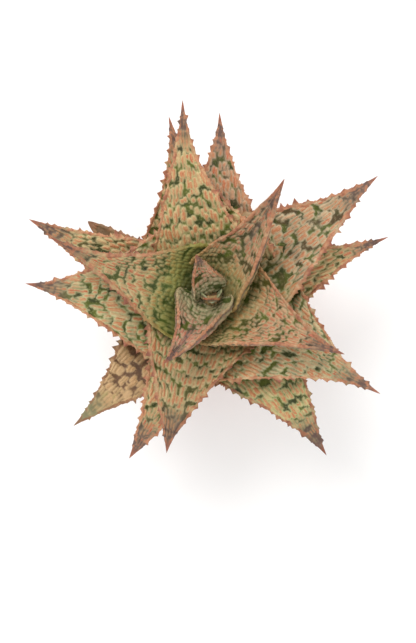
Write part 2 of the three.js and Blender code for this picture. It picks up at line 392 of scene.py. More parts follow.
potWare = {
    "sides": 160,
    "outside": [(0, 0), (32.5, 0), (34, 1.5), (44, 66), (46.5, 66), (48, 67.5), (48, 84.5), (46.5, 86)],
    "outsideRounding": [1.5, 2, 1.2, 1, 2, 2.4, 1.6],
    "inside": [(44, 86), (42.5, 84.5), (39.5, 66), (29.8, 9), (27.2, 6), (0, 6)],
    "insideRounding": [1.6, 2, 2.5, 4, 4],
    "holeRadius": .0045, "holeCircle": .019, "holeTurns": (90, 210, 330), "holeSides": 40,
    "drillFrom": -.004, "drillTo": .012,
    "ringDepth": .00005, "ringPitch": .0011,    # shallow rings left by the hands up the wall
    "waver": .00012,                            # and how far the wall is out of round
    "saltsLow": (.002, .030), "saltsHigh": (.078, .0865),   # heights between which the salts fade
    "base": (184, 108, 76), "dark": (160, 88, 60), "speck": (122, 72, 54), "dust": (214, 190, 168),
    "scale": 55.0, "speckShare": .35, "dustShare": .55, "bump": .00012, "gloss": .25,
}


def throwPot(earth):
    # the profile turned round the axis, with rings h sin(z / p) and a waver w sin(3a + 30z)
    profile = roundedProfile(potWare["outside"] + potWare["inside"],
                             potWare["outsideRounding"] + potWare["insideRounding"])
    rings = lambda z: potWare["ringDepth"] * np.sin(z / potWare["ringPitch"])
    wobble = lambda a, z: rings(z) + potWare["waver"] * np.sin(3 * a + z * 30)
    pot = turnedOutwards(lathe("clay_pot", profile, potWare["sides"], wobble))
    r, low, high = potWare["holeRadius"], potWare["drillFrom"], potWare["drillTo"]
    for turn in potWare["holeTurns"]:
        angle = math.radians(turn)
        x, y = potWare["holeCircle"] * math.cos(angle), potWare["holeCircle"] * math.sin(angle)
        drill = lathe("drill", np.array([[0, low], [r, low], [r, high], [0, high]]), potWare["holeSides"])
        drill.data.transform(mathutils.Matrix.Translation((x, y, 0)))
        turnedOutwards(drill)
        applied(pot, "BOOLEAN", operation="DIFFERENCE", solver="EXACT", object=drill)
        bpy.data.objects.remove(drill)

    def bloomMask(wires):
        # lime salts low on the wall and at the top of the rim band
        place = wires.tree.nodes.new("ShaderNodeTexCoord").outputs["Object"]
        height = wires.tree.nodes.new("ShaderNodeSeparateXYZ")
        wires.feed(height.inputs[0], place)
        z = height.outputs["Z"]
        foot = wires.ramp(z, *potWare["saltsLow"], fromHigh=True)
        band = wires.ramp(z, *potWare["saltsHigh"])
        return wires.math("ADD", wires.times(foot, 0.8), wires.times(band, 0.7), clamp=True)

    pot.data.materials.append(earthPaint("unglazedClay", earth, potWare, bloomMask))
    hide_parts("pot")
    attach(pot, "root")


stemWood = {
    "top": .111, "bottom": .048, "soilTop": .078, "soilRadius": .0085, "topRadius": .004,
    "scarDepth": .0003, "scarPitch": .0013, "outOfRound": .0003, "rows": 90, "sides": 48, "voxel": .0006,
    "rootStart": .002, "rootRise": .008, "rootWander": .0012, "rootRows": 40, "rootSides": 16,
    # direction in degrees, reach, depth and radius of each root
    "roots": [(20, .026, .026, .0024), (95, .022, .034, .0021), (165, .027, .024, .0023),
              (235, .023, .033, .0022), (310, .025, .028, .0024)],
    "base": (166, 140, 98), "dark": (112, 84, 54), "speck": (84, 60, 40), "dust": (196, 180, 150),
    "scale": 160.0, "speckShare": .3, "dustShare": .3, "bump": .0002, "gloss": .3,
}


def rootTube(direction, reach, depth, radius):
    # a round section carried out and down: x = r q, z = z0 - depth q^1.6, thinner to its end, with a
    # small wander to both sides
    q = np.linspace(0, 1, stemWood["rootRows"])
    angle = math.radians(direction)
    r = stemWood["rootStart"] + (reach - stemWood["rootStart"]) * q
    waver = stemWood["rootWander"] * np.sin(q * 7 + direction) * q
    x = r * math.cos(angle) - waver * math.sin(angle)
    y = r * math.sin(angle) + waver * math.cos(angle)
    z = stemWood["bottom"] + stemWood["rootRise"] - depth * q ** 1.6
    path = np.stack([x, y, z], -1)
    ahead = np.gradient(path, axis=0)
    ahead /= np.linalg.norm(ahead, axis=1)[:, None]
    across = np.cross(ahead, [0, 0, 1.0])
    across /= np.linalg.norm(across, axis=1)[:, None]
    upward = np.cross(across, ahead)
    turn = np.linspace(0, 2 * math.pi, stemWood["rootSides"], endpoint=False)[None, :, None]
    thick = radius * (1.1 - 0.75 * q ** 1.5)[:, None, None]
    rings = path[:, None] + thick * (across[:, None] * np.cos(turn) + upward[:, None] * np.sin(turn))
    return closedTube(rings)


def growStem(earth):
    # a short trunk ringed by old leaf scars, and its roots, closed into one skin by a voxel remesh
    bottom, top, soilTop = stemWood["bottom"], stemWood["top"], stemWood["soilTop"]
    z = np.linspace(bottom, top, stemWood["rows"])
    r = np.where(z < soilTop, stemWood["soilRadius"], stemWood["soilRadius"] + (z - soilTop)
                 * (stemWood["topRadius"] - stemWood["soilRadius"]) / (top - soilTop))
    r = r * (0.55 + 0.45 * smoothStep(bottom - .002, bottom + .012, z))
    scars = stemWood["scarDepth"] * np.abs(np.sin(z / stemWood["scarPitch"]))
    profile = np.stack([r - scars, z], -1)
    profile = np.concatenate([[[0, z[0]]], profile, [[0, z[-1]]]])
    stem = lathe("rooted_trunk", profile, stemWood["sides"],
                 lambda a, h: stemWood["outOfRound"] * np.sin(2 * a + h * 500))
    parts = [stem]
    for row in stemWood["roots"]:
        parts.append(makePiece("root_tube", *rootTube(*row)))
    joined = bmesh.new()
    for part in parts:
        joined.from_mesh(part.data)
    joined.to_mesh(stem.data)
    joined.free()
    for part in parts[1:]:
        bpy.data.objects.remove(part)
    turnedOutwards(stem)
    applied(stem, "REMESH", mode="VOXEL", voxel_size=stemWood["voxel"])
    applied(stem, "SMOOTH", iterations=3, factor=0.5)
    stem.data.materials.append(earthPaint("trunkBark", earth, stemWood))
    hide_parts("rooted_stem")
    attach(stem, "root")


soilMix = {
    "bottom": .0066, "top": .0768, "wallTop": .0758, "gap": .0003,
    # the pot's inner wall in millimetres, as heights and radii
    "wallHeights": (6, 9, 66, 84.5), "wallRadii": (26.5, 29.8, 39.5, 42.5),
    "sides": 180, "wallRows": 24, "topRows": 60, "domeHeight": .0012, "domeRadius": .042,
    # height, size, shift and seed of each size of lump
    "lumps": [(.0011, .011, 9, 31), (.0006, .004, 40, 32), (.0003, .0016, 90, 33)],
    "strewn": .0385,            # radius over which crumbs and perlite lie
    "crumbs": 620, "crumbSize": (.0006, .0020),
    "perlite": 90, "perliteSize": (.0008, .0018),
    "base": (86, 66, 50), "dark": (48, 37, 29), "speck": (30, 24, 20), "dust": (128, 108, 88),
    "scale": 220.0, "speckShare": .5, "dustShare": .35, "bump": .0006, "gloss": .2,
}
perliteLook = {
    "base": (226, 222, 212), "dark": (196, 188, 174), "speck": (150, 140, 124), "dust": (160, 140, 118),
    "scale": 300.0, "speckShare": .3, "dustShare": .5, "bump": .0002, "gloss": .3,
}


def soilTopAt(x, y):
    # a shallow dome d cos(1.57 r / R) with lumps of three sizes
    dome = soilMix["domeHeight"] * np.cos(np.hypot(x, y) / soilMix["domeRadius"] * 1.57)
    lumps = sum(height * softNoise(x / size + shift, y / size + shift, seed)
                for height, size, shift, seed in soilMix["lumps"])
    return soilMix["top"] + dome + lumps


def fillSoil(earth):
    # rings from the middle of the floor out, up the pot's wall and back over the lumpy top to the middle
    wallHeight = np.linspace(soilMix["bottom"], soilMix["wallTop"], soilMix["wallRows"])
    wall = np.interp(wallHeight / mm, soilMix["wallHeights"], soilMix["wallRadii"]) * mm - soilMix["gap"]
    topRadius = np.linspace(1, 0, soilMix["topRows"])[:-1] ** 0.9
    angle = np.linspace(0, 2 * math.pi, soilMix["sides"], endpoint=False)[None, :]
    wallRings = np.stack([wall[:, None] * np.cos(angle), wall[:, None] * np.sin(angle),
                          wallHeight[:, None] + 0 * angle], -1)
    r = topRadius[1:, None] * wall[-1]
    x, y = r * np.cos(angle), r * np.sin(angle)
    blend = smoothStep(wall[-1], wall[-1] - 0.003, r)
    z = soilMix["wallTop"] * (1 - blend) + soilTopAt(x, y) * blend
    rings = np.concatenate([wallRings, np.stack([x, y, z], -1)])
    points, faces = closedTube(rings)
    points[-2] = (0, 0, soilMix["bottom"])
    soil = turnedOutwards(makePiece("potting_soil_fill", points, faces))
    soil.data.materials.append(earthPaint("pottingMix", earth, soilMix))
    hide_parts("potting_soil")
    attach(soil, "root")

    # crumbs and perlite: one dented ball of few faces, set down many times
    ball = bmesh.new()
    bmesh.ops.create_icosphere(ball, subdivisions=1, radius=1.0)
    corners = np.array([v.co[:] for v in ball.verts])
    triangles = np.array([[v.index for v in f.verts] for f in ball.faces])
    ball.free()
    heaps = [("soil_crumbs", soilMix["crumbs"], soilMix["crumbSize"], soilMix, 51),
             ("soil_perlite", soilMix["perlite"], soilMix["perliteSize"], perliteLook, 52)]
    for name, count, size, look, seed in heaps:
        rng = np.random.default_rng(seed)
        r = soilMix["strewn"] * np.sqrt(rng.uniform(0.08, 1, count))
        a = rng.uniform(0, 2 * math.pi, count)
        x, y = r * np.cos(a), r * np.sin(a)
        radius = size[0] + (size[1] - size[0]) * rng.random(count) ** 2.5
        squash = rng.uniform(0.55, 1.0, (count, 1, 3))
        dents = 1 + 0.25 * rng.standard_normal((count, len(corners), 1)).clip(-1, 1)
        spots = corners[None] * radius[:, None, None] * squash * dents
        spots = spots + np.stack([x, y, soilTopAt(x, y) + 0.25 * radius], -1)[:, None]
        shift = (np.arange(count) * len(corners))[:, None, None]
        heap = makePiece(name, spots.reshape(-1, 3), [(triangles[None] + shift).reshape(-1, 3)])
        heap.data.materials.append(earthPaint(name + "Finish", earth, look))
        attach(heap, "root")


# Leaves

# Shape of each leaf, the same as its solid in the frame, in the order of leafMeasures.
# direction, channel, clasp and roll are in degrees.
# reach: from the pot's axis to the tip. base, tip: heights of the midrib's two ends. arch, bow: rise and
# sideways bend at its middle. halfWidth, taper: size and sharpness of the outline. channel, clasp: how far
# each half of the section turns up, on the blade and at the base. roll: turn about the midrib.
leafMeasures = ("direction", "reach", "base", "tip", "arch", "bow", "halfWidth", "taper",
                "channel", "clasp", "roll", "thickness")
leafShapes = {
    "lower_leaf_1":  ( -137,  .105, .086, .097, .002,   .002,  .048, 1.35, 25, 20,  12, .0075),
    "lower_leaf_2":  (148.5,   .08, .083, .103,    0,   .003,  .018,   .7, 30, 20,   6,  .006),
    "lower_leaf_3":  (  -54,  .108, .087, .103, .002,   .002,  .049,  1.3, 30, 20,   8, .0085),
    "lower_leaf_4":  ( 87.5, .1015, .087, .105, .001,  -.002,  .049,  1.5, 30, 20,   4, .0085),
    "lower_leaf_5":  ( -117,  .099, .089, .112, .001,  .0025,  .034,  1.1, 30, 20,   1, .0085),
    "lower_leaf_6":  ( 18.7,  .102, .088,  .11, .001,  -.001,   .05, 1.65, 30, 20,  12, .0085),
    "lower_leaf_7":  (  157,  .108, .089, .113, .001,   .002,  .032, 1.15, 35, 20,   0,  .007),
    "lower_leaf_8":  (103.3, .1012, .091, .111, .001,      0,  .064, 1.65, 35, 25,  -8, .0085),
    "middle_leaf_1": (  176,  .101, .096, .118, .001,   .002,  .062,  1.5, 30, 20,  -2,   .01),
    "middle_leaf_2": (  -30,  .105, .092, .121, .001,      0,  .068, 1.65, 40, 25,   0,   .01),
    "middle_leaf_3": ( 35.9,   .11, .097, .125, .001, -.0018,  .051, 1.35, 35, 25, -14,   .01),
    "middle_leaf_4": ( 98.4, .1062, .097, .125, .001,  .0035,  .044,  1.5, 40, 35,   0,   .01),
    "middle_leaf_5": ( -106,  .086, .097, .138,    0,  -.003,  .048,  1.2, 50, 35,   0,   .01),
    "middle_leaf_6": (  160,   .09, .105,  .14,    0,   .004,  .046,  1.8, 50, 40,  -3,   .01),
    "inner_leaf_1":  (  -24, .0745, .102, .157,    0,  -.001,  .051, 1.65, 65, 45,  -8, .0095),
    "inner_leaf_2":  (   58,   .07, .105,  .16,    0,  -.002,  .032,  1.3, 78, 60, -16, .0095),
    "inner_leaf_3":  ( -125,  .043, .108, .157,    0,   .002,  .029, 1.35, 80, 70,  17, .0085),
    "inner_leaf_4":  (  111,  .023,  .11, .145,    0,      0, .0145,  1.1, 48, 62,   4, .0075),
    "heart_leaf_1":  (  -88, .0032,  .11, .128,    0,      0, .0095,  .45, 80, 85,   0, .0026),
    "heart_leaf_2":  (  -90, .0016, .111, .136,    0,      0, .0063,  .75, 14, 14,   0,  .005),
}

# How a leaf's skin grows, in metres. A leaf's own entry in leafLooks overrides these.
leafGrowth = {
    "rootedAt": .004,        # where the midrib starts, out from the axis
    "mesh": .00064,          # spacing of the mesh points
    "lane": .0032,           # width of one lane of spots at the leaf's widest
    "band": .0088,           # length of one cross-band of spots
    "fill": .94,             # share of places that hold a spot
    "spotRadius": (.26, .12),   # in lanes: the least, and how much more some spots have
    "spotReach": (.22, .24),    # half the length in bands, likewise
    "spotRise": .00065,
    "fineBase": .5,          # how much finer the spots are at the base
    "toothPitch": .0050,
    "toothLength": .0042,
    "toothWidth": .0031,
    "toothRoot": .0013,      # how far inwards from the rim a tooth draws the skin out
    "hem": .0008,            # how far the rim rises and falls
    "marginWide": .0010,     # the horny margin, inwards from the rim
    "marginRise": .0004,
    "bead": .0034,           # length of one bead of the margin
    "spineHalf": .0010,      # the slender spine at the tip, half its width
    "spineRun": .0035,       # and how soon it reaches that width
    "wave": .0008,           # how far the blade ripples
    "leastHalf": .00008,     # the narrowest that a ring gets
    "lastRow": .9985,        # share of the length at which the last ring stands
}


def midrib(shape, along):
    # out from the axis in a straight line in plan, with a sideways bow and an upward arch that both
    # follow the hump 4t(1 - t); returns the places and the unit directions along it
    angle = math.radians(shape["direction"])
    out = np.array([math.cos(angle), math.sin(angle), 0.0])
    sideways = np.array([-math.sin(angle), math.cos(angle), 0.0])
    up = np.array([0.0, 0.0, 1.0])
    start = min(leafGrowth["rootedAt"], 0.3 * shape["reach"])
    run = shape["reach"] - start
    t = along[:, None]
    hump = 4 * t * (1 - t)
    rise = shape["base"] + (shape["tip"] - shape["base"]) * t + shape["arch"] * hump
    place = out * (start + run * t) + sideways * shape["bow"] * hump + up * rise
    lean = 4 - 8 * t
    ahead = out * run + sideways * shape["bow"] * lean
    ahead = ahead + up * ((shape["tip"] - shape["base"]) + shape["arch"] * lean)
    return place, ahead / np.linalg.norm(ahead, axis=1)[:, None]


def bladeWidth(shape, along, toTip, growth):
    # half the unrolled width: a power of what is left to the tip, drawn in where the leaf clasps the
    # stem, and joined as a root of squares with a spine h(1 - exp(-d / r))
    waist = 1 - 0.55 * np.exp(-along / 0.1)
    blade = shape["halfWidth"] * np.clip(1 - along, 0, 1) ** shape["taper"] * waist
    spine = growth["spineHalf"] * (1 - np.exp(-toTip / growth["spineRun"]))
    return np.hypot(blade, spine)


def marginTeeth(s, toTip, growth, rng):
    # one side's teeth from 0 to 1 at the rows s: the highest of many peaks h(1 - |d| / w), each
    # centred on a row and steeper towards the tip, smaller at both ends and none on the spine
    count = int(s[-1] / growth["toothPitch"]) + 2
    centres = np.cumsum(rng.uniform(0.5, 1.5, count)) * growth["toothPitch"]
    centres = s[np.clip(np.searchsorted(s, centres), 0, len(s) - 1)]
    heights = 0.3 + 0.7 * rng.random(count)
    widths = growth["toothWidth"] * rng.uniform(0.55, 1.2, count)
    away = s[:, None] - centres
    humps = heights * np.clip(1 - np.abs(away) / (widths * np.where(away > 0, 0.42, 0.85)), 0, 1)
    rough = 0.24 * rng.random(len(s))
    ends = (0.55 + 0.45 * smoothStep(0.0, 0.02, s)) * (1 - 0.5 * smoothStep(0.055, 0.015, toTip))
    return np.maximum(humps.max(1), rough) * ends * smoothStep(0.005, 0.010, toTip)


def spotField(lane, band, laneSize, bandSize, growth, seed):
    # signed distance in metres to the nearest spot, less than 0 inside it, and that spot's own number.
    # Spots are capsules on a lattice of lanes along the leaf and wavy cross-bands.
    # lane, band: the lattice's running numbers at each point. laneSize, bandSize: how large one is there.
    leastRadius, moreRadius = growth["spotRadius"]
    leastReach, moreReach = growth["spotReach"]
    farAway = 9.0
    nearest = np.full(lane.shape, farAway)
    tone = np.zeros(lane.shape)
    for i in (-1, 0, 1):
        laneCell = np.floor(lane) + i
        bunch = np.floor(laneCell * 0.37 + 3 * softNoise(band * 0.13, band * 0, seed + 9) + 20)
        drift = 1.3 * softNoise(laneCell * 0.23, band * 0.21, seed + 5)
        drift = drift + 0.55 * cellRandom(bunch, bunch * 0, seed + 1)
        drift = drift + 0.3 * (cellRandom(laneCell, laneCell * 0, seed + 10) - 0.5)
        for j in (-1, 0, 1):
            bandCell = np.floor(band + drift) + j
            pick = lambda k: cellRandom(laneCell, bandCell, seed + k)
            sparse = smoothStep(0.3, 0.75, softNoise(laneCell * 0.37, bandCell * 0.61, seed + 6))
            centre = laneCell + 0.5 + 0.3 * (pick(12) - 0.5)
            middle = bandCell + 0.5 + 0.24 * (pick(11) - 0.5)
            radius = laneSize * (leastRadius + moreRadius * pick(13)) * (1 - 0.3 * sparse)
            reach = bandSize * (leastReach + moreReach * pick(14)) * (1 - 0.5 * sparse)
            ds = (band + drift - middle) * bandSize
            dw = (lane - centre) * laneSize
            distance = np.hypot(dw, np.maximum(np.abs(ds) - np.maximum(reach - radius, 0), 0)) - radius
            distance = np.where(pick(15) < growth["fill"] - 0.22 * sparse, distance, farAway)
            tone = np.where(distance < nearest, pick(16), tone)
            nearest = np.minimum(nearest, distance)
    return nearest, tone


def growLeaf(name, growth, seed):
    # Rings carried along the midrib. Each is an arc of radius half / turn, so that the angle at a point is
    # turn times across, and both skins stand off it by a share of the thickness times
    # (1 - t)^0.75 (1 - across^2)^0.75, plus the relief.
    shape = dict(zip(leafMeasures, leafShapes[name]))
    rng = np.random.default_rng(seed)
    length = math.hypot(shape["reach"], shape["tip"] - shape["base"])
    along = np.linspace(0, growth["lastRow"], int(length / growth["mesh"]))
    toTip = (1 - along) * length
    rowAt = along * length
    teeth = [marginTeeth(rowAt, toTip, growth, rng) for _ in range(2)]

    # the ring: across from -1 to 1 on the upper skin and back on the lower one, closer at the margins
    spread = lambda n: 0.5 * np.linspace(-1, 1, n) + 0.5 * np.sin(np.linspace(-1, 1, n) * math.pi / 2)
    columns = int(np.clip(2 * shape["halfWidth"] / growth["mesh"], 44, 150))
    upper = spread(columns)
    lower = spread(int(columns * 0.56) + 2)[-2:0:-1]
    across = np.concatenate([upper, lower])[None, :]
    face = np.concatenate([np.ones(columns), -np.ones(len(lower))])[None, :]
    face[0, [0, columns - 1]] = 0.0
    t = along[:, None]

    # section frames carried along the midrib
    place, ahead = midrib(shape, along)
    level = np.cross([0, 0, 1.0], ahead)
    level /= np.linalg.norm(level, axis=1)[:, None]
    raised = np.cross(ahead, level)
    roll = math.radians(shape["roll"])
    side = level * math.cos(roll) + raised * math.sin(roll)
    up = raised * math.cos(roll) - level * math.sin(roll)
    half = np.maximum(bladeWidth(shape, along, toTip, growth), growth["leastHalf"])[:, None]
    turn = np.radians(shape["channel"] + (shape["clasp"] - shape["channel"]) * np.exp(-t / 0.15))

    # the lattice of spots narrows with the leaf and is finer near its base and tip
    s = rowAt[:, None] + 0 * across
    w = half * across
    fineBase = growth["fineBase"]
    laneSize = growth["lane"] * (0.5 + 0.5 * half / half.max())
    laneSize = laneSize * (1 - 0.5 * (1 - fineBase) * smoothStep(0.45, 0.15, t))
    bandSize = growth["band"] * (1 - (1 - fineBase) * smoothStep(0.5, 0.12, t))
    bandSize = bandSize * (1 - 0.3 * smoothStep(0.7, 0.95, t))
    lane = w / laneSize + 40.5 + 0.35 * softNoise(s / 0.007, w / 0.004, seed + 2)
    running = np.cumsum(np.gradient(rowAt) / bandSize[:, 0])[:, None]
    band = running + 0.3 * softNoise(s / 0.011, w / 0.006, seed + 3) + 60 + 20 * (face < 0)
    spotEdge, spotTone = spotField(lane, band, laneSize, bandSize, growth, seed)

    # the margin is a chain of long beads, so its inner edge swells and narrows
    rim = half * (1 - np.abs(across))
    beads = softNoise(s / growth["bead"], np.sign(across) * 7 + 30 + 0 * s, seed + 8)
    marginEdge = rim - growth["marginWide"] * (0.8 + 0.7 * beads)

    # relief: spots and margin stand proud, and the whole blade ripples a little
    calm = smoothStep(0.0, 0.004, half)
    spotShare = 1 - smoothStep(-0.0008, 0.0008, spotEdge)
    ridge = np.exp(-((rim - 0.5 * growth["marginWide"]) / (0.55 * growth["marginWide"])) ** 2)
    relief = growth["spotRise"] * spotShare * smoothStep(0.0002, 0.0012, marginEdge) * calm
    relief = relief + growth["marginRise"] * ridge * (0.8 + 0.4 * beads) * calm
    ripple = growth["wave"] * softNoise(s / 0.016 + 7, w / 0.011 + 3, seed + 4) * calm
    share = np.where(face > 0, 0.3, 0.7)
    swell = share * shape["thickness"] * np.clip(1 - t, 0, 1) ** 0.75 * (1 - across ** 2) ** 0.75
    offset = face * (swell + relief) + ripple * (1 - across ** 2)

    # teeth push the rim outwards, forwards and a little up or down
    tooth = np.where(across < 0, teeth[0][:, None], teeth[1][:, None])
    push = growth["toothLength"] * tooth * np.clip(1 - rim / growth["toothRoot"], 0, 1) ** 1.2
    lift = 0.4 * push * softNoise(s / 0.005, np.sign(across) * 3 + 9 + 0 * s, seed + 6)
    hem = growth["hem"] * softNoise(s / 0.011, np.sign(across) * 5 + 20 + 0 * s, seed + 7)
    lift = lift + hem * smoothStep(0.5, 1, np.abs(across)) * calm

    bend = turn * across
    radius = half / turn
    sine, cosine = np.sin(bend), np.cos(bend)
    outward = np.sign(across) * push
    sideways = radius * sine - sine * (offset + lift) + cosine * outward
    upwards = radius * (1 - cosine) + cosine * (offset + lift) + sine * np.abs(push)
    rings = place[:, None] + side[:, None] * sideways[..., None] + up[:, None] * upwards[..., None]
    rings = rings + ahead[:, None] * (0.3 * push)[..., None]
    points, faces = closedTube(rings)

    def flat(v):
        v = np.broadcast_to(v, s.shape)
        return np.concatenate([v.ravel(), [v[0].mean(), v[-1].mean()]])

    values = {
        "spotEdge": flat(np.clip(spotEdge / mm, -1.5, 3)),
        "spotTone": flat(spotTone),
        "marginEdge": flat(np.clip((marginEdge - push) / mm, -5, 6)),
        "along": flat(t),
        "toTip": flat(toTip[:, None] / mm * max(1, 0.09 / length)),
        "middle": flat(1 - np.abs(across)),
        "runAlong": flat(s / mm),
        "runAcross": flat(w / mm),
        "upper": flat(1.0 * (face >= 0)),
    }
    return makePiece("aloe_" + name, points, faces, values)


# Leaf skin: green ground, raised spots with a pale halo, a horny margin and a dark tip

skinColours = ["Ground", "Deep", "Rust", "Young", "Young Spot", "Halo", "Spot", "Pale Spot", "Hot Spot",
               "Margin", "Tooth", "Tip", "Fold"]
skinMeasures = {"Spot Edge": "spotEdge", "Spot Tone": "spotTone", "Margin Edge": "marginEdge",
                "Along": "along", "To Tip": "toTip", "Middle": "middle", "Upper": "upper",
                "Run Along": "runAlong", "Run Across": "runAcross"}
skinAmounts = ["Youth", "Rusty", "Folded", "Crease_Shade", "Leaf_Shade"]


def leafSkinGroup():
    # lengths come in millimetres: Spot Edge and Margin Edge are below 0 on the spots and the margin
    inputs = [(m, "value") for m in list(skinMeasures) + skinAmounts] + [(c, "colour") for c in skinColours]
    outputs = [("Color", "colour"), ("Roughness", "value"), ("Height", "value")]
    group, source, result = newGroup("leafSkin", inputs, outputs)
    wires = Wiring(group)
    take = source.outputs
    place = group.nodes.new("ShaderNodeTexCoord").outputs["Object"]
    times, plus, less, ramp, mix = wires.times, wires.plus, wires.less, wires.ramp, wires.mix

    def onBlade(alongScale, acrossScale, sideShift):
        # a place in the leaf's own measures, so that a noise can be drawn out along or across the blade
        place = group.nodes.new("ShaderNodeCombineXYZ")
        wires.feed(place.inputs["X"], times(take["Run Along"], alongScale))
        wires.feed(place.inputs["Y"], times(take["Run Across"], acrossScale))
        wires.feed(place.inputs["Z"], times(take["Upper"], sideShift))
        return place.outputs[0]

    blotch = wires.noise(place, 130.0, 2.0)
    rustBlotch = wires.noise(place, 95.0, 1.0)
    fine = wires.noise(place, 800.0, 4.0, 0.62)
    grain = wires.noise(place, 2600.0, 3.0, 0.6)
    streak = wires.noise(onBlade(0.28, 1.9, 9.0), 1.0, 3.0, 0.6)
    # dark cross-bands, where the spots shrink and the ground shows
    sparse = ramp(wires.noise(onBlade(0.17, 0.06, 5.0), 1.0, 2.0), 0.44, 0.64)
    ragged = times(less(plus(fine, streak), 1.0), 1.6)
    spotEdge = plus(take["Spot Edge"], ragged, times(less(sparse, 0.3), 0.6))
    nearBase = times(ramp(take["Along"], 0.16, 0.46, fromHigh=True), take["Youth"])
    # painted shade: the base of the leaf is marked for darkening, for the shade in the crease where the
    # leaves crowd round the stem
    creaseShade = times(ramp(take["Along"], 0.10, 0.26, fromHigh=True), take["Crease_Shade"])

    # ground: two greens and a brown in soft blotches, lime where the leaf is young
    ground = mix(ramp(blotch, 0.42, 0.62), take["Ground"], take["Deep"])
    ground = mix(times(ramp(rustBlotch, 0.45, 0.62), take["Rusty"]), ground, take["Rust"])
    ground = mix(nearBase, ground, take["Young"])
    ground = mix(times(ramp(fine, 0.5, 0.72), 0.3), ground, take["Halo"])
    halo = mix(times(nearBase, 0.85), take["Halo"], take["Young Spot"])

    # a halo round each spot that runs into its neighbours', then the core
    skin = mix(times(ramp(spotEdge, 0.0, 1.35, fromHigh=True), 0.97), ground, halo)
    core = mix(take["Spot Tone"], take["Spot"], take["Pale Spot"])
    hot = times(ramp(take["Spot Tone"], 0.12, 0.28, fromHigh=True),
                ramp(take["To Tip"], 18.0, 50.0, fromHigh=True))
    core = mix(times(hot, 0.9), core, take["Hot Spot"])
    faint = times(ramp(take["Spot Tone"], 0.7, 0.95), 0.5)
    coreShare = times(ramp(spotEdge, -0.75, 0.6, fromHigh=True), less(1.0, faint))
    core = mix(times(ramp(streak, 0.48, 0.66), 0.5), core, take["Halo"])
    core = mix(times(nearBase, 0.9), core, take["Young Spot"])
    skin = mix(coreShare, skin, core)
    # painted shade: the deep green is laid over the base, as the shade that falls in the crease
    skin = mix(times(creaseShade, 0.85), skin, take["Deep"])

    # the tip and a grey fold down the middle take the ground more than the spots
    bare = less(1.0, times(coreShare, 0.7))
    tipShare = times(ramp(take["To Tip"], 13.0, 32.0, fromHigh=True), bare)
    skin = mix(times(tipShare, 0.95), skin, take["Tip"])
    skin = mix(times(ramp(take["To Tip"], 5.0, 16.0, fromHigh=True), 0.5), skin, take["Tip"])
    folded = times(times(ramp(take["Middle"], 0.72, 0.97), take["Folded"]), bare)
    skin = mix(times(folded, ramp(take["Along"], 0.3, 0.6)), skin, take["Fold"])
    under = times(less(1.0, take["Upper"]), ramp(take["Margin Edge"], 0.4, 2.6, fromHigh=True))
    skin = mix(times(under, 0.75), skin, take["Fold"])

    # the margin with its teeth, mottled with paler horn, darker at the points
    edge = plus(take["Margin Edge"], times(ragged, 1.2))
    patch = wires.noise(place, 260.0, 2.0)
    horn = mix(times(ramp(patch, 0.48, 0.64), 0.5), take["Margin"], take["Halo"])
    horn = mix(times(ramp(patch, 0.34, 0.46, fromHigh=True), 0.7), horn, take["Tooth"])
    horn = mix(ramp(take["Margin Edge"], -3.4, -1.6, fromHigh=True), horn, take["Tooth"])
    weathered = times(ramp(take["To Tip"], 8.0, 26.0, fromHigh=True), ramp(patch, 0.4, 0.6))
    horn = mix(weathered, horn, take["Tip"])
    horn = mix(times(nearBase, 0.8), horn, take["Young Spot"])
    skin = mix(ramp(edge, -0.1, 0.35, fromHigh=True), skin, horn)
    skin = mix(ramp(take["To Tip"], 3.0, 8.0, fromHigh=True), skin, take["Tooth"])

    shade = plus(0.37, times(fine, 0.36), times(grain, 0.14), times(streak, 0.30))
    # painted shade: each leaf is darkened as a whole by its own amount, most on the steep inner leaves, for
    # the shade that falls on them
    shade = times(shade, less(1.0, take["Leaf_Shade"]))
    shade = times(shade, less(1.05, times(sparse, 0.2)))
    shaded = group.nodes.new("ShaderNodeVectorMath")
    shaded.operation = "SCALE"
    wires.feed(shaded.inputs[0], skin)
    wires.feed(shaded.inputs["Scale"], shade)

    wires.feed(result.inputs["Color"], shaded.outputs[0])
    wires.feed(result.inputs["Roughness"], plus(0.42, times(fine, 0.24)))
    relief = plus(times(fine, 0.5), times(grain, 0.25), times(streak, 0.5), times(coreShare, 0.35))
    wires.feed(result.inputs["Height"], relief)
    return group


# Screen colours of the skin. A leaf's own entry in leafLooks overrides these.
skinPalette = {
    "Ground": (96, 106, 34),
    "Deep": (56, 64, 18),
    "Rust": (90, 70, 34),
    "Young": (98, 116, 36),
    "Young Spot": (166, 172, 88),
    "Halo": (218, 202, 148),
    "Spot": (206, 128, 84),
    "Pale Spot": (212, 150, 106),
    "Hot Spot": (208, 100, 68),
    "Margin": (204, 142, 104),
    "Tooth": (166, 104, 80),
    "Tip": (110, 84, 76),
    "Fold": (120, 104, 94),
}
